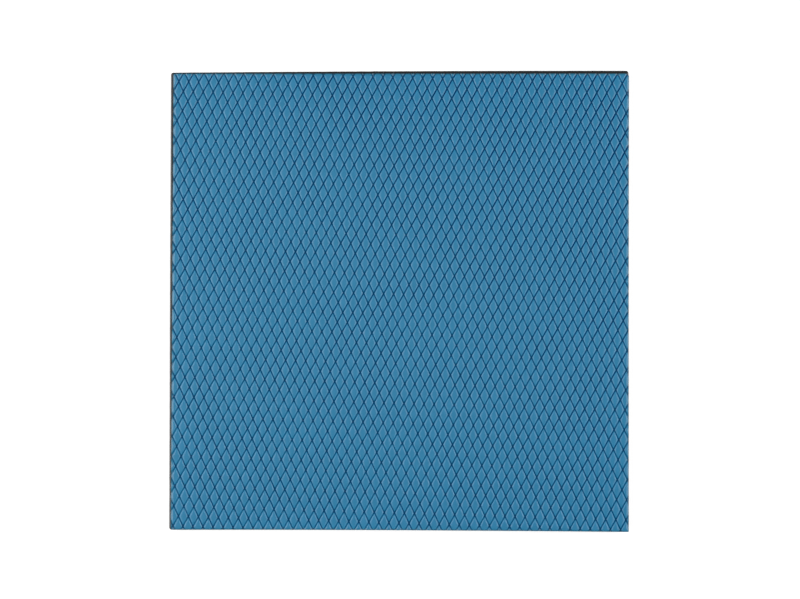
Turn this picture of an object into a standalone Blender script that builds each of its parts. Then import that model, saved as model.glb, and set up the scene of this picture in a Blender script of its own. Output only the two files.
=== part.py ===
"""A square thermal pad sheet: a soft, dark grey silicone gap pad with a blue embossed release liner on its top face.

The pad lies flat, +Z up, with the centre of its underside at the origin. +X runs to the right of the sheet and +Y to
its far edge. The liner lies face to face on the pad. It is nearly the pad's own size, but was laid down a little
askew, so that the pad shows past it along the left and far edges. All lengths are in metres.
"""

import math

import bmesh
import bpy

MM = 0.001

# Pad: stock size, and the small roundings that a blade leaves on soft silicone
PAD_WIDTH = 100 * MM
PAD_LENGTH = 100 * MM
PAD_THICKNESS = 2 * MM
PAD_CORNER_RADIUS = 0.6 * MM
PAD_RIM_ROUNDING = 0.35 * MM

# Liner: a thin film, as thick as its embossing stands high, cut a little smaller than the pad
LINER_THICKNESS = 0.25 * MM
LINER_CORNER_RADIUS = 0.4 * MM
LINER_RIM_ROUNDING = 0.05 * MM
LINER_NARROWER_BY = 0.6 * MM
LINER_SHORTER_BY = 0.3 * MM

# How far the liner lies off the pad's centre, and its turn, clockwise seen from above
LINER_SHIFT_RIGHT = 0.38 * MM
LINER_SHIFT_NEAR = 0.36 * MM
LINER_TURN = math.radians(0.27)

CORNER_SEGMENTS = 5
RIM_SEGMENTS = 3


def clear_scene():
    for obj in list(bpy.data.objects):
        bpy.data.objects.remove(obj, do_unlink=True)


def new_collection(name):
    collection = bpy.data.collections.new(name)
    bpy.context.scene.collection.children.link(collection)
    return collection


def new_material(name, colour, roughness, metallic=0.0):
    """A plain Principled material; colour is linear RGB."""
    material = bpy.data.materials.new(name)
    material.use_nodes = True
    shader = material.node_tree.nodes["Principled BSDF"]
    shader.inputs["Base Color"].default_value = (*colour, 1.0)
    shader.inputs["Roughness"].default_value = roughness
    shader.inputs["Metallic"].default_value = metallic
    return material


def move_to_collection(obj, collection):
    for old in list(obj.users_collection):
        old.objects.unlink(obj)
    collection.objects.link(obj)


def round_upright_edges(mesh, radius):
    """Round the four upright edges of a box, which are the sheet's corners seen from above."""
    bm = bmesh.new()
    bm.from_mesh(mesh)
    upright = [
        edge
        for edge in bm.edges
        if math.dist(edge.verts[0].co.xy, edge.verts[1].co.xy) < radius
    ]
    bmesh.ops.bevel(
        bm,
        geom=upright,
        offset=radius,
        offset_type="OFFSET",
        segments=CORNER_SEGMENTS,
        profile=0.5,
        affect="EDGES",
    )
    bm.to_mesh(mesh)
    bm.free()


def round_rims(obj, rounding):
    """Round the edges between the sheet's flat faces and its cut sides."""
    bevel = obj.modifiers.new("Rim rounding", "BEVEL")
    bevel.limit_method = "ANGLE"
    bevel.angle_limit = math.radians(60)
    bevel.width = rounding
    bevel.segments = RIM_SEGMENTS


def add_sheet(name, size, corner_radius, rim_rounding, material, collection):
    """A flat sheet with rounded corners and rims, its underside's centre at its own origin."""
    width, length, thickness = size
    bpy.ops.mesh.primitive_cube_add(size=1)
    sheet = bpy.context.object
    sheet.name = name
    sheet.data.name = name
    sheet.location = (0, 0, thickness / 2)
    sheet.scale = (width, length, thickness)
    bpy.ops.object.transform_apply(location=True, rotation=False, scale=True)
    round_upright_edges(sheet.data, corner_radius)
    round_rims(sheet, rim_rounding)
    sheet.data.materials.append(material)
    move_to_collection(sheet, collection)
    return sheet


def add_pad(collection):
    silicone = new_material("dark_silicone", (0.045, 0.047, 0.050), 0.55)
    return add_sheet(
        "pad_body",
        (PAD_WIDTH, PAD_LENGTH, PAD_THICKNESS),
        PAD_CORNER_RADIUS,
        PAD_RIM_ROUNDING,
        silicone,
        collection,
    )


def add_liner(collection):
    """The film lies on the pad's top face, shifted and turned a little."""
    film = new_material("blue_film", (0.040, 0.200, 0.360), 0.35)
    liner = add_sheet(
        "embossed_liner",
        (PAD_WIDTH - LINER_NARROWER_BY, PAD_LENGTH - LINER_SHORTER_BY, LINER_THICKNESS),
        LINER_CORNER_RADIUS,
        LINER_RIM_ROUNDING,
        film,
        collection,
    )
    liner.location = (LINER_SHIFT_RIGHT, -LINER_SHIFT_NEAR, PAD_THICKNESS)
    liner.rotation_euler = (0, 0, -LINER_TURN)
    return liner


def main():
    clear_scene()
    collection = new_collection("thermal_pad_sheet")
    add_pad(collection)
    add_liner(collection)


main()
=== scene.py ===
"""Looks of a square thermal pad sheet: a blue, diamond-embossed release film on a dark grey silicone pad.

The sheet lies flat on a white table and is seen from above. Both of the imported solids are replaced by
detailed meshes that keep their places. Everything is in metres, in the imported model's own frame: +X to the
right of the picture, +Y to its top, +Z up to the camera. Seen from above, the sheet's sides are called left,
far, right and near.
"""

import math
from collections import namedtuple

import bmesh
import bpy
from mathutils import Matrix, Vector, noise


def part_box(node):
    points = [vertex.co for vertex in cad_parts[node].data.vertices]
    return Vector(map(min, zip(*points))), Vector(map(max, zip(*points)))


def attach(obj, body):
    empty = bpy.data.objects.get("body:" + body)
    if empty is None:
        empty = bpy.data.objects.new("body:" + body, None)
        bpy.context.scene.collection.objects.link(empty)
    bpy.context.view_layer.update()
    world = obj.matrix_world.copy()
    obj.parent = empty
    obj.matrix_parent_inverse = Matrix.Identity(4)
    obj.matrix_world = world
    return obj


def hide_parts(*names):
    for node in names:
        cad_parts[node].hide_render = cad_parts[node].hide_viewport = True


MM = 0.001

# Camera: where it stands, the point it looks at, its lens, and the nearest that it sees
CAMERA_PLACE = Vector((10.339, -24.578, 500.975)) * MM
CAMERA_AIM = Vector((0.325, -0.0833, 2.2)) * MM
CAMERA_LENS = 103.32
SENSOR_WIDTH = 36.0
CAMERA_NEAREST = 10 * MM

# The sides as cut: how far each one reaches from the origin at its middle, how much further at its +X or +Y
# end, and how much further at both ends, where it bows
Side = namedtuple("Side", "reach slant bow")
HALF_SIDE = 50 * MM
FILM_SIDES = {
    "left": Side(49.39 * MM, -0.055 * MM, 0.0),
    "far": Side(49.38 * MM, -0.142 * MM, 0.0),
    "right": Side(50.005 * MM, 0.265 * MM, 0.04 * MM),
    "near": Side(50.10 * MM, 0.20 * MM, 0.135 * MM),
}
PAD_SIDES = {
    "left": Side(49.90 * MM, 0.046 * MM, -0.040 * MM),
    "far": Side(49.985 * MM, 0.065 * MM, -0.12 * MM),
    "right": Side(50.00 * MM, 0.24 * MM, 0.0),
    "near": Side(49.99 * MM, -0.11 * MM, 0.0),
}
OUTWARD = {
    "left": Vector((-1, 0, 0)),
    "far": Vector((0, 1, 0)),
    "right": Vector((1, 0, 0)),
    "near": Vector((0, -1, 0)),
}

# Corners, clockwise from the far left one, and how far each one is rounded
CORNERS = (("left", "far"), ("far", "right"), ("right", "near"), ("near", "left"))
FILM_CORNER_RADII = (0.35 * MM, 0.75 * MM, 0.2 * MM, 0.5 * MM)
PAD_CORNER_RADII = (0.5 * MM, 0.6 * MM, 0.5 * MM, 0.6 * MM)

# Embossing: two families of parallel grooves. Each has its direction across the grooves, from +X, its pitch,
# how far its first groove lies from the origin, and how wide its grooves are beside the section below
Grooves = namedtuple("Grooves", "angle pitch first widening")
RISING_GROOVES = Grooves(math.radians(-29.078), 1.93376 * MM, 0.4618 * MM, 1.07)
FALLING_GROOVES = Grooves(math.radians(24.523), 1.95315 * MM, -0.5152 * MM, 1.03)

# A diamond's section from the foot of its wall up: distance in from the groove's middle, height above its
# floor, and the rounding of its corners, of which a share is cut off along both sides
FLOOR_HALF_WIDTH = 0.09 * MM
SECTION = (
    (0.20 * MM, 0.150 * MM, 0.12 * MM),
    (0.37 * MM, 0.206 * MM, 0.22 * MM),
    (0.55 * MM, 0.229 * MM, 0.30 * MM),
)
CROWN = 0.235 * MM
CORNER_CUT = 0.6
SHARPEST_SMOOTH_FOLD = math.radians(42)

# Film as cut: how far the diamonds are laid past the sheet before the cut, and how much of its height the
# film loses at its edges, which the blade pressed down, over what distance
FIELD_MARGIN = 3 * MM
FILM_EDGE_DROP = 0.66
FILM_EDGE_ROUNDING = 0.50 * MM
CUTS_PER_CORNER = 4
CUT_TOLERANCE = 1e-7

# Pad: the soft silicone's cut sides. They waver by a noise with so many features a metre, drawn out up the
# side, and its middle lies inside the outline by a share of the waver
PAD_RIM_ROUNDING = 0.34 * MM
PAD_SIDE_HOLLOW = 0.05 * MM
PAD_SIDE_WAVER = 0.02 * MM
PAD_WAVER_SCALE = 900
PAD_WAVER_UP_SIDE = 0.4
PAD_WAVER_INWARD = 0.6
PAD_POINT_SPACING = 0.4 * MM
PAD_CORNER_STEPS = 6
PAD_RIM_STEPS = 6
PAD_WALL_STEPS = 6

# Film colours, linear RGB. At its pressed edge the film takes on a share of the last one, a darker grey-blue
# that is painted shade
FILM_FACE_DULL = (0.0275, 0.178, 0.323)
FILM_FACE_BRIGHT = (0.0375, 0.208, 0.377)
# The shoulder colour is a painted highlight: the diamonds' sides lighter where the lamps catch them
FILM_SHOULDER_PAINTED_HIGHLIGHT = (0.0255, 0.2085, 0.384)
FILM_GROOVE_PRESSED = (0.0001, 0.024, 0.113)
FILM_GROOVE_LOOSE = (0.0105, 0.141, 0.279)
FILM_CROSSING = (0.0040, 0.049, 0.130)
FILM_EDGE_PAINTED_SHADE = (0.026, 0.092, 0.104)
FILM_EDGE_PAINTED_SHADE_SHARE = 0.55

# Where these colours change: on a diamond's side, in shares of its height, and beside a groove's middle line,
# in pitches
FACE_TO_SHOULDER = (0.98, 0.72)
GROOVE_TO_FACE = (0.0, 0.52)
GROOVE_FADE = (0.24, 0.06)
HALF_PITCH = 0.5

# How loosely the film lies in its grooves, from 0 to 1. The rising ones have painted shade, darker towards
# the far right corner; the falling ones are alike all over, and a share of patches is mixed into both
RISING_SHADE_TOWARDS = (0.5, 0.8, 0)
RISING_SHADE_TO_LIGHT = (1.4, -1.4)
FALLING_LOOSENESS = 0.60
PATCHY_SHARE = 0.30

# The film's colours are multiplied by a painted sheen, palest at the middle of its left side. The sheen fades
# along one direction and, by the square, towards both ends of another, and counts between two ends
FILM_PAINTED_SHEEN_FULL = (1.18, 1.047, 1.018)
FILM_PAINTED_SHEEN_FADED = (0.81, 0.954, 0.968)
FILM_PAINTED_SHEEN_FADE_ENDS = (-0.45, 0.92)
PAINTED_SHEEN_FADES_TOWARDS = (0.45, 0, 0)
PAINTED_SHEEN_FADES_AT_ENDS = (0, 0.68, 0)

# Silicone and table colours, linear RGB, the shares that they vary by, and how strongly the table glows
SILICONE = (0.0035, 0.005, 0.006)
SILICONE_SPECK = (0.013, 0.015, 0.016)
SILICONE_VARIES_BY = 0.15
TABLE_WHITE = (0.62, 0.62, 0.62)
TABLE_VARIES_BY = 0.01
TABLE_GLOW = 0.62

# Gloss
FILM_ROUGHNESS = 0.28
GROOVE_ROUGHNESS = 0.14
FILM_IOR = 1.45
FILM_SPECULAR = 0.41
SILICONE_ROUGHNESS = 0.37
SILICONE_IOR = 1.6
TABLE_ROUGHNESS = 0.7
TABLE_IOR = 1.5
TABLE_SPECULAR = 0.2

# Noise patterns: features a metre, the values that become 0 and 1, and detail
Pattern = namedtuple("Pattern", "scale low high detail")
FILM_PATCHES = Pattern(110.0, 0.30, 0.70, 1.0)
FILM_CLOUD = Pattern(450.0, 0.2, 0.8, 3.0)
SILICONE_SPECKS = Pattern(9000.0, 0.60, 0.74, 1.0)
SILICONE_MOTTLE = Pattern(700.0, 0.25, 0.75, 2.0)
TABLE_CLOUD = Pattern(3.0, 0.2, 0.8, 2.0)

# Grain of the surfaces: features a metre, detail, strength and height
Grain = namedtuple("Grain", "scale detail strength height")
FILM_GRAIN = Grain(6000.0, 2.0, 0.1, 0.02 * MM)
SILICONE_GRAIN = Grain(5000.0, 4.0, 0.4, 0.03 * MM)

# Studio: two softboxes, one at each side, a faint even light from all round, and a table whose top lies a
# hair below the sheet, so that the two don't share one plane
SOFTBOX_DISTANCE = 1.0
SOFTBOX_HEIGHT_DEGREES = 42.0
SOFTBOX_FORWARD = {"left": 0.08, "right": 0.02}
SOFTBOX_SIZE = (0.85, 0.70)
SOFTBOX_POWER = {"left": 9.5, "right": 8.8}
ROOM_LIGHT = 0.06
TABLE_SIZE = 60.0
TABLE_GAP = 0.02 * MM


# Geometry. A line in the plane is a unit normal and its distance from the origin


def crossing(first, second):
    """The point where two lines cross."""
    (a, c), (b, d) = first, second
    scale = a.x * b.y - a.y * b.x
    return Vector(((c * b.y - d * a.y) / scale, (d * a.x - c * b.x) / scale))


def cut_line(sides, name):
    """A side's straight line, without its bow."""
    side = sides[name]
    outward = OUTWARD[name]
    along = Vector((abs(outward.y), abs(outward.x), 0))
    normal = (outward - along * side.slant / HALF_SIDE).normalized()
    return normal, side.reach * normal.dot(outward)


def corner_centre(first, second, radius):
    """The middle of a circle that touches two sides from inside."""
    return crossing((first[0].xy, first[1] - radius), (second[0].xy, second[1] - radius)).to_3d()


def edge_distance(lines, point):
    """How far a point lies inside the nearest of the sides."""
    return min(distance - normal.dot(point) for normal, distance in lines.values())


def bow_shift(sides, x, y):
    """How far the sides' bows move a point of the sheet: fully at a side, and not at all in the middle."""
    across = sides["right"] if x > 0 else sides["left"]
    along = sides["far"] if y > 0 else sides["near"]
    tx, ty = x / HALF_SIDE, y / HALF_SIDE
    return Vector((across.bow * ty * ty * tx * abs(tx), along.bow * tx * tx * ty * abs(ty), 0))


def smooth_step(x):
    """From 0 to 1 as x goes from 0 to 1, level at both ends."""
    x = min(max(x, 0.0), 1.0)
    return x * x * (3 - 2 * x)


# Nodes


def add_node(tree, kind, settings=None, inputs=None):
    """A shader node with its settings, and with each input set to a value or linked to a socket."""
    made = tree.nodes.new(kind)
    for name, value in (settings or {}).items():
        setattr(made, name, value)
    for name, value in (inputs or {}).items():
        if isinstance(value, bpy.types.NodeSocket):
            tree.links.new(value, made.inputs[name])
        else:
            made.inputs[name].default_value = value
    return made


def new_material(name, roughness, ior):
    material = bpy.data.materials.new(name)
    material.use_nodes = True
    tree = material.node_tree
    shader = tree.nodes["Principled BSDF"]
    shader.inputs["Roughness"].default_value = roughness
    shader.inputs["IOR"].default_value = ior
    return material, tree, shader


def object_place(tree):
    return add_node(tree, "ShaderNodeTexCoord").outputs["Object"]


def point_value(tree, name):
    """A value that the mesh holds at its points."""
    return add_node(tree, "ShaderNodeAttribute", {"attribute_name": name}).outputs["Fac"]


def mix_colours(tree, factor, first, second, blend="MIX"):
    """Two colours mixed, each of them linear RGB or a socket. The node's colours are inputs 6 and 7."""
    first, second = [
        colour if isinstance(colour, bpy.types.NodeSocket) else (*colour, 1) for colour in (first, second)
    ]
    settings = {"data_type": "RGBA", "blend_type": blend}
    return add_node(tree, "ShaderNodeMix", settings, {0: factor, 6: first, 7: second}).outputs[2]


def mix_values(tree, factor, first, second):
    """Two values mixed. The node's values are inputs 2 and 3."""
    mix = add_node(tree, "ShaderNodeMix", {"data_type": "FLOAT"}, {0: factor, 2: first, 3: second})
    return mix.outputs[0]


def calculate(tree, operation, *values):
    """The result of a math node, whose inputs are the values in turn."""
    return add_node(tree, "ShaderNodeMath", {"operation": operation}, dict(enumerate(values))).outputs[0]


def spread_between(tree, value, low, high, curve="LINEAR"):
    """A value's way from 0 at low to 1 at high."""
    inputs = {"Value": value, "From Min": low, "From Max": high}
    return add_node(tree, "ShaderNodeMapRange", {"interpolation_type": curve}, inputs).outputs["Result"]


def smooth_between(tree, value, ends):
    """A value's smooth way from 0 at the first end to 1 at the second."""
    return spread_between(tree, value, *ends, curve="SMOOTHSTEP")


def noise_pattern(tree, place, pattern):
    inputs = {"Vector": place, "Scale": pattern.scale, "Detail": pattern.detail}
    made = add_node(tree, "ShaderNodeTexNoise", None, inputs)
    return spread_between(tree, made.outputs["Fac"], pattern.low, pattern.high)


def add_grain(tree, shader, place, grain):
    """Fine unevenness of a surface."""
    inputs = {"Vector": place, "Scale": grain.scale, "Detail": grain.detail}
    height = add_node(tree, "ShaderNodeTexNoise", None, inputs).outputs["Fac"]
    inputs = {"Height": height, "Strength": grain.strength, "Distance": grain.height}
    bump = add_node(tree, "ShaderNodeBump", None, inputs)
    tree.links.new(bump.outputs["Normal"], shader.inputs["Normal"])


def dot_product(tree, place, direction):
    dot = add_node(tree, "ShaderNodeVectorMath", {"operation": "DOT_PRODUCT"}, {0: place, 1: direction})
    return dot.outputs["Value"]


def place_along(tree, place, direction):
    """How far along a direction a place lies, in half sides of the sheet."""
    return dot_product(tree, place, tuple(part / HALF_SIDE for part in direction))


def scaled(colour, factor):
    return tuple(part * factor for part in colour)


# Materials


def groove_nearness(tree, place, grooves):
    """1 on the middle lines of a family of grooves, fading to 0 away from them."""
    across = (math.cos(grooves.angle) / grooves.pitch, math.sin(grooves.angle) / grooves.pitch, 0)
    pitches = dot_product(tree, place, across)
    from_first = calculate(tree, "SUBTRACT", pitches, grooves.first / grooves.pitch)
    from_nearest = calculate(tree, "PINGPONG", from_first, HALF_PITCH)
    return smooth_between(tree, from_nearest, GROOVE_FADE)


def groove_colour(tree, place):
    """The film in its grooves: darker where it is pressed onto the pad, where grooves cross, and by painted
    shade.
    """
    rising = groove_nearness(tree, place, RISING_GROOVES)
    falling = groove_nearness(tree, place, FALLING_GROOVES)
    # Painted shade: the rising grooves are darker towards the far right corner
    even = smooth_between(tree, place_along(tree, place, RISING_SHADE_TOWARDS), RISING_SHADE_TO_LIGHT)
    patches = noise_pattern(tree, place, FILM_PATCHES)
    looseness_and_shade = mix_values(tree, PATCHY_SHARE, mix_values(tree, falling, even, FALLING_LOOSENESS), patches)
    groove = mix_colours(tree, looseness_and_shade, FILM_GROOVE_PRESSED, FILM_GROOVE_LOOSE)
    crossed = mix_values(tree, rising, 0.0, falling)
    return mix_colours(tree, crossed, groove, FILM_CROSSING)


def face_colour(tree, place, rise):
    """The film on its raised diamonds: faintly cloudy, and lighter on their shoulders, which is a painted
    highlight.
    """
    cloud = noise_pattern(tree, place, FILM_CLOUD)
    face = mix_colours(tree, cloud, FILM_FACE_DULL, FILM_FACE_BRIGHT)
    return mix_colours(tree, smooth_between(tree, rise, FACE_TO_SHOULDER), face, FILM_SHOULDER_PAINTED_HIGHLIGHT)


def painted_sheen_tone(tree, place):
    """A painted sheen: what the film's colours are multiplied by, from its palest to its deepest place."""
    across = place_along(tree, place, PAINTED_SHEEN_FADES_TOWARDS)
    along = place_along(tree, place, PAINTED_SHEEN_FADES_AT_ENDS)
    sheen_fade = calculate(tree, "MULTIPLY_ADD", along, along, across)
    sheen_fading = spread_between(tree, sheen_fade, *FILM_PAINTED_SHEEN_FADE_ENDS)
    return mix_colours(tree, sheen_fading, FILM_PAINTED_SHEEN_FULL, FILM_PAINTED_SHEEN_FADED)


def film_material():
    """Blue film: dark where a groove presses it onto the pad, lighter on the raised diamonds."""
    material, tree, shader = new_material("blue_embossed_film", FILM_ROUGHNESS, FILM_IOR)
    place = object_place(tree)
    rise = point_value(tree, "rise")
    lifted = smooth_between(tree, rise, GROOVE_TO_FACE)
    colour = mix_colours(tree, lifted, groove_colour(tree, place), face_colour(tree, place, rise))
    # Painted sheen: the colours are multiplied paler towards the middle of the film's left side
    colour = mix_colours(tree, 1.0, colour, painted_sheen_tone(tree, place), "MULTIPLY")
    # Painted shade at the film's pressed edges, mixed towards a dark grey-blue
    painted_edge_shade = mix_values(tree, point_value(tree, "pressed_edge"), 0.0, FILM_EDGE_PAINTED_SHADE_SHARE)
    colour = mix_colours(tree, painted_edge_shade, colour, FILM_EDGE_PAINTED_SHADE)
    tree.links.new(colour, shader.inputs["Base Color"])
    tree.links.new(mix_values(tree, lifted, GROOVE_ROUGHNESS, FILM_ROUGHNESS), shader.inputs["Roughness"])
    shader.inputs["Specular IOR Level"].default_value = FILM_SPECULAR
    add_grain(tree, shader, place, FILM_GRAIN)
    return material


def silicone_material():
    """Dark silicone, with paler specks of filler and a finely grained surface."""
    material, tree, shader = new_material("dark_silicone", SILICONE_ROUGHNESS, SILICONE_IOR)
    place = object_place(tree)
    dull = scaled(SILICONE, 1 - SILICONE_VARIES_BY)
    bright = scaled(SILICONE, 1 + SILICONE_VARIES_BY)
    body = mix_colours(tree, noise_pattern(tree, place, SILICONE_MOTTLE), dull, bright)
    colour = mix_colours(tree, noise_pattern(tree, place, SILICONE_SPECKS), body, SILICONE_SPECK)
    tree.links.new(colour, shader.inputs["Base Color"])
    add_grain(tree, shader, place, SILICONE_GRAIN)
    return material


def table_material():
    """A plain white table that glows a little, so that the sheet's shadow hardly shows on it."""
    material, tree, shader = new_material("white_table", TABLE_ROUGHNESS, TABLE_IOR)
    cloud = noise_pattern(tree, object_place(tree), TABLE_CLOUD)
    white = mix_colours(tree, cloud, scaled(TABLE_WHITE, 1 - TABLE_VARIES_BY), TABLE_WHITE)
    tree.links.new(white, shader.inputs["Base Color"])
    shader.inputs["Specular IOR Level"].default_value = TABLE_SPECULAR
    shader.inputs["Emission Color"].default_value = (1, 1, 1, 1)
    shader.inputs["Emission Strength"].default_value = TABLE_GLOW
    return material


# Embossed film


def lattice_line(grooves, index, inset=0.0):
    """One groove's middle line, or a line beside it."""
    normal = Vector((math.cos(grooves.angle), math.sin(grooves.angle)))
    return normal, grooves.first + index * grooves.pitch + inset * grooves.widening


def corner_keys(i, j):
    """Which crossings of grooves lie round diamond (i, j)."""
    return (i, j), (i + 1, j), (i + 1, j + 1), (i, j + 1)


def diamond_corners(i, j, inset):
    """The corners of diamond (i, j), moved in from the middle lines of its grooves."""
    low_a = lattice_line(RISING_GROOVES, i, inset)
    high_a = lattice_line(RISING_GROOVES, i + 1, -inset)
    low_b = lattice_line(FALLING_GROOVES, j, inset)
    high_b = lattice_line(FALLING_GROOVES, j + 1, -inset)
    return [
        crossing(low_a, low_b),
        crossing(high_a, low_b),
        crossing(high_a, high_b),
        crossing(low_a, high_b),
    ]


def cut_corners(corners, rounding):
    """A ring with two points for each corner, one on either side of it."""
    ring = []
    for k, corner in enumerate(corners):
        to_last = (corners[k - 1] - corner).normalized()
        to_next = (corners[(k + 1) % len(corners)] - corner).normalized()
        half_angle = to_last.angle(to_next) / 2
        back = CORNER_CUT * rounding / math.tan(half_angle)
        ring += [corner + to_last * back, corner + to_next * back]
    return ring


def add_diamond(bm, crossings, i, j):
    """One embossed diamond, from the grooves round it up to its crown."""
    outer = [crossings[key] for key in corner_keys(i, j)]
    foot = [bm.verts.new((p.x, p.y, 0)) for p in diamond_corners(i, j, FLOOR_HALF_WIDTH)]
    rings = []
    for inset, height, rounding in SECTION:
        points = cut_corners(diamond_corners(i, j, inset), rounding)
        rings.append([bm.verts.new((p.x, p.y, height)) for p in points])
    first, last = rings[0], rings[-1]
    for k in range(len(foot)):
        after = (k + 1) % len(foot)
        bm.faces.new((outer[k], outer[after], foot[after], foot[k]))
        bm.faces.new((foot[k], first[2 * k + 1], first[2 * k]))
        bm.faces.new((foot[k], foot[after], first[2 * after], first[2 * k + 1]))
    for lower, upper in zip(rings, rings[1:]):
        for k in range(len(lower)):
            after = (k + 1) % len(lower)
            bm.faces.new((lower[k], lower[after], upper[after], upper[k]))
    middle = sum((vert.co for vert in last), Vector()) / len(last)
    crown = bm.verts.new((middle.x, middle.y, CROWN))
    for k in range(len(last)):
        bm.faces.new((last[k], last[(k + 1) % len(last)], crown))


def emboss_field(bm):
    """All diamonds that touch the film, and some past it, with z as the height above the grooves' floor."""
    margin = HALF_SIDE + FIELD_MARGIN
    reach = int(2 * margin / RISING_GROOVES.pitch)
    wanted = []
    for i in range(-reach, reach):
        for j in range(-reach, reach):
            middle = crossing(lattice_line(RISING_GROOVES, i + 0.5), lattice_line(FALLING_GROOVES, j + 0.5))
            if abs(middle.x) < margin and abs(middle.y) < margin:
                wanted.append((i, j))
    crossings = {}
    for i, j in wanted:
        for key in corner_keys(i, j):
            if key not in crossings:
                point = crossing(lattice_line(RISING_GROOVES, key[0]), lattice_line(FALLING_GROOVES, key[1]))
                crossings[key] = bm.verts.new((point.x, point.y, 0))
    for i, j in wanted:
        add_diamond(bm, crossings, i, j)


def cut(bm, normal, distance, keep_both=False):
    """Cut the whole surface along an upright plane, and clear what lies outside unless both sides stay."""
    bmesh.ops.bisect_plane(
        bm,
        geom=bm.verts[:] + bm.edges[:] + bm.faces[:],
        dist=CUT_TOLERANCE,
        plane_co=normal * distance,
        plane_no=normal,
        clear_outer=not keep_both,
    )


def round_corner(bm, first, second, radius):
    """Cut a corner round, with planes that touch a circle of that radius."""
    centre = corner_centre(first, second, radius)
    for step in range(1, CUTS_PER_CORNER + 1):
        share = step / (CUTS_PER_CORNER + 1)
        normal = first[0].slerp(second[0], share)
        cut(bm, normal, centre.dot(normal) + radius)


def cut_to_size(bm, lines):
    """Cut the field along the film's sides, and also where its pressed edges need points to bend at."""
    for normal, distance in lines.values():
        cut(bm, normal, distance)
        cut(bm, normal, distance - FILM_EDGE_ROUNDING, keep_both=True)
        cut(bm, normal, distance - FILM_EDGE_ROUNDING / 2, keep_both=True)
    for (first, second), radius in zip(CORNERS, FILM_CORNER_RADII):
        round_corner(bm, lines[first], lines[second], radius)


def set_heights(bm, lines, underside, top):
    """Lift the surface onto the film, press its edges down, and keep both at the points for the material."""
    rise = bm.verts.layers.float.new("rise")
    pressed = bm.verts.layers.float.new("pressed_edge")
    groove_floor = top - CROWN - underside
    for vert in bm.verts:
        inward = edge_distance(lines, vert.co.xy.to_3d())
        vert[pressed] = 1 - smooth_step(inward / FILM_EDGE_ROUNDING)
        drop = FILM_EDGE_DROP * vert[pressed]
        # The lowered rise also darkens the pressed edges towards the groove colours, which is painted shade
        vert[rise] = vert.co.z / CROWN * (1 - drop)
        vert.co.z = underside + (groove_floor + vert.co.z) * (1 - drop)


def close_below(bm, underside):
    """Walls down from the surface's rim, and a flat underside between them."""
    rim = [edge for edge in bm.edges if edge.is_boundary]
    for made in bmesh.ops.extrude_edge_only(bm, edges=rim)["geom"]:
        if isinstance(made, bmesh.types.BMVert):
            made.co.z = underside
    bottom = [edge for edge in bm.edges if edge.is_boundary]
    bmesh.ops.contextual_create(bm, geom=bottom)


def film_mesh(underside, top):
    """The embossed film as a closed solid, flat where it lies on the pad."""
    bm = bmesh.new()
    emboss_field(bm)
    for vert in bm.verts:
        vert.co -= bow_shift(FILM_SIDES, vert.co.x, vert.co.y)
    lines = {name: cut_line(FILM_SIDES, name) for name in FILM_SIDES}
    cut_to_size(bm, lines)
    set_heights(bm, lines, underside, top)
    close_below(bm, underside)
    for vert in bm.verts:
        vert.co += bow_shift(FILM_SIDES, vert.co.x, vert.co.y)
    bmesh.ops.recalc_face_normals(bm, faces=bm.faces[:])
    mesh = bpy.data.meshes.new("film")
    bm.to_mesh(mesh)
    bm.free()
    return mesh


def add_film():
    low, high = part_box("embossed_liner")
    mesh = film_mesh(low.z, high.z)
    mesh.shade_smooth()
    mesh.set_sharp_from_angle(angle=SHARPEST_SMOOTH_FOLD)
    film = bpy.data.objects.new("diamond_film", mesh)
    bpy.context.scene.collection.objects.link(film)
    mesh.materials.append(film_material())
    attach(film, "root")
    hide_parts("embossed_liner")


# Silicone pad


def outline(sides, corner_radii, spacing):
    """Points and outward directions round a sheet with rounded corners, clockwise from the far left one."""
    lines = {name: cut_line(sides, name) for name in sides}
    points = []
    for (first, second), radius in zip(CORNERS, corner_radii):
        centre = corner_centre(lines[first], lines[second], radius)
        for step in range(PAD_CORNER_STEPS + 1):
            outward = lines[first][0].slerp(lines[second][0], step / PAD_CORNER_STEPS)
            points.append((centre + outward * radius, outward))
    closed = []
    for k, (point, outward) in enumerate(points):
        after, after_outward = points[(k + 1) % len(points)]
        steps = max(1, round((after - point).length / spacing))
        for step in range(steps):
            share = step / steps
            closed.append((point.lerp(after, share), outward.lerp(after_outward, share).normalized()))
    return [(point + bow_shift(sides, point.x, point.y), outward) for point, outward in closed]


def pad_section(bottom, top):
    """The pad's cut side from the bottom up: how far each level lies inside the outline, and its height."""
    levels = []
    for step in range(PAD_RIM_STEPS + 1):
        angle = math.pi / 2 * step / PAD_RIM_STEPS
        levels.append((PAD_RIM_ROUNDING * (1 - math.sin(angle)), PAD_RIM_ROUNDING * (1 - math.cos(angle))))
    height = top - bottom
    wall = height - 2 * PAD_RIM_ROUNDING
    middle = []
    for step in range(1, PAD_WALL_STEPS):
        share = step / PAD_WALL_STEPS
        middle.append((PAD_SIDE_HOLLOW * math.sin(math.pi * share), PAD_RIM_ROUNDING + wall * share))
    upper = [(inset, height - rise) for inset, rise in reversed(levels)]
    return [(inset, bottom + rise) for inset, rise in levels + middle + upper]


def side_waver(point, height):
    place = Vector((point.x, point.y, height * PAD_WAVER_UP_SIDE)) * PAD_WAVER_SCALE
    return PAD_SIDE_WAVER * (noise.noise(place) - PAD_WAVER_INWARD)


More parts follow.
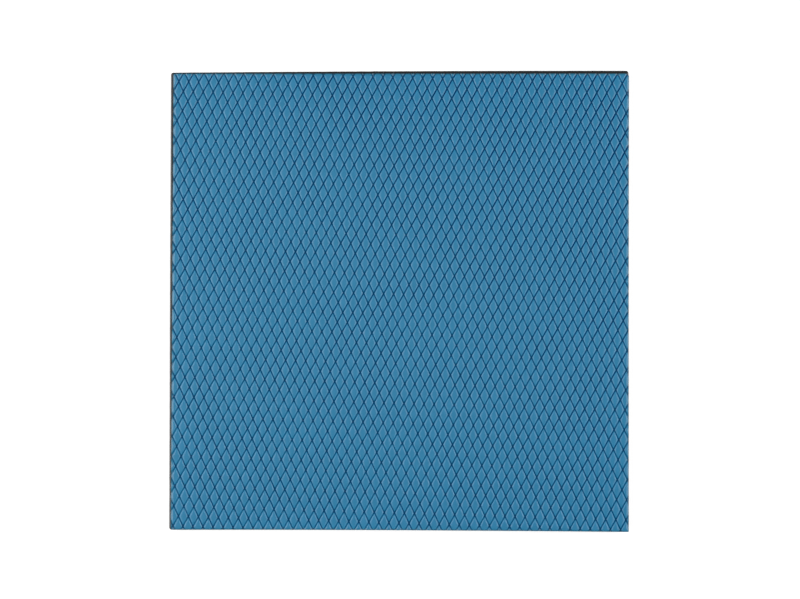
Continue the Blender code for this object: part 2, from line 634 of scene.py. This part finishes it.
def pad_mesh(bottom, top):
    """The silicone slab, with rounded rims and cut sides that waver a little."""
    bm = bmesh.new()
    around = outline(PAD_SIDES, PAD_CORNER_RADII, PAD_POINT_SPACING)
    section = pad_section(bottom, top)
    rings = []
    for level, (inset, height) in enumerate(section):
        flat = level in (0, len(section) - 1)
        ring = []
        for point, outward in around:
            waver = 0.0 if flat else side_waver(point, height)
            place = point - outward * (inset - waver)
            ring.append(bm.verts.new((place.x, place.y, height)))
        rings.append(ring)
    for lower, upper in zip(rings, rings[1:]):
        for k in range(len(lower)):
            after = (k + 1) % len(lower)
            face = bm.faces.new((lower[k], lower[after], upper[after], upper[k]))
            face.smooth = True
    bm.faces.new(rings[0])
    bm.faces.new(rings[-1])
    bmesh.ops.recalc_face_normals(bm, faces=bm.faces[:])
    mesh = bpy.data.meshes.new("silicone")
    bm.to_mesh(mesh)
    bm.free()
    return mesh


def add_pad():
    low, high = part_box("pad_body")
    mesh = pad_mesh(low.z, high.z)
    pad = bpy.data.objects.new("silicone_pad", mesh)
    bpy.context.scene.collection.objects.link(pad)
    mesh.materials.append(silicone_material())
    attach(pad, "root")
    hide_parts("pad_body")


# Studio


def add_table():
    bpy.ops.mesh.primitive_plane_add(size=TABLE_SIZE, location=(0, 0, -TABLE_GAP))
    table = bpy.context.object
    table.name = "table"
    table.data.materials.append(table_material())


def add_softbox(side):
    """A soft rectangular lamp at one side of the sheet, aimed at its middle."""
    lamp = bpy.data.lights.new(f"softbox_{side}", "AREA")
    lamp.shape = "RECTANGLE"
    lamp.size, lamp.size_y = SOFTBOX_SIZE
    lamp.energy = SOFTBOX_POWER[side]
    softbox = bpy.data.objects.new(lamp.name, lamp)
    height = math.radians(SOFTBOX_HEIGHT_DEGREES)
    direction = OUTWARD[side] * math.cos(height) + Vector((0, 0, math.sin(height)))
    softbox.location = direction * SOFTBOX_DISTANCE
    softbox.location.y += SOFTBOX_FORWARD[side]
    softbox.rotation_euler = (-softbox.location).to_track_quat("-Z", "Y").to_euler()
    bpy.context.scene.collection.objects.link(softbox)


def add_room_light():
    """A faint even light. Where the room is seen past the table, it looks as pale as the table does there."""
    world = bpy.data.worlds.new("studio")
    world.use_nodes = True
    tree = world.node_tree
    background = tree.nodes["Background"]
    background.inputs["Color"].default_value = (1, 1, 1, 1)
    seen = add_node(tree, "ShaderNodeLightPath").outputs["Is Camera Ray"]
    tree.links.new(mix_values(tree, seen, ROOM_LIGHT, TABLE_GLOW), background.inputs["Strength"])
    bpy.context.scene.world = world


def add_camera():
    data = bpy.data.cameras.new("camera")
    data.sensor_fit = "HORIZONTAL"
    data.sensor_width = SENSOR_WIDTH
    data.lens = CAMERA_LENS
    data.clip_start = CAMERA_NEAREST
    camera = bpy.data.objects.new("camera", data)
    forward = (CAMERA_AIM - CAMERA_PLACE).normalized()
    right = forward.cross(OUTWARD["far"]).normalized()
    turn = Matrix((right, right.cross(forward), -forward)).transposed()
    camera.matrix_world = Matrix.Translation(CAMERA_PLACE) @ turn.to_4x4()
    bpy.context.scene.collection.objects.link(camera)
    bpy.context.scene.camera = camera


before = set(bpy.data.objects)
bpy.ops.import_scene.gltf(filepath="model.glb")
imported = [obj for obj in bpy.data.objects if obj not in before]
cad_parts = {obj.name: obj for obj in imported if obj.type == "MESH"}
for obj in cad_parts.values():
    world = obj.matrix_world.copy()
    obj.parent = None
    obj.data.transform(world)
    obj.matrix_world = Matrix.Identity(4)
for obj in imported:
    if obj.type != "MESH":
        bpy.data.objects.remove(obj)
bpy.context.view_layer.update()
add_camera()
add_pad()
add_film()
add_table()
for side_name in SOFTBOX_POWER:
    add_softbox(side_name)
add_room_light()
bpy.context.scene.view_settings.view_transform = "Standard"
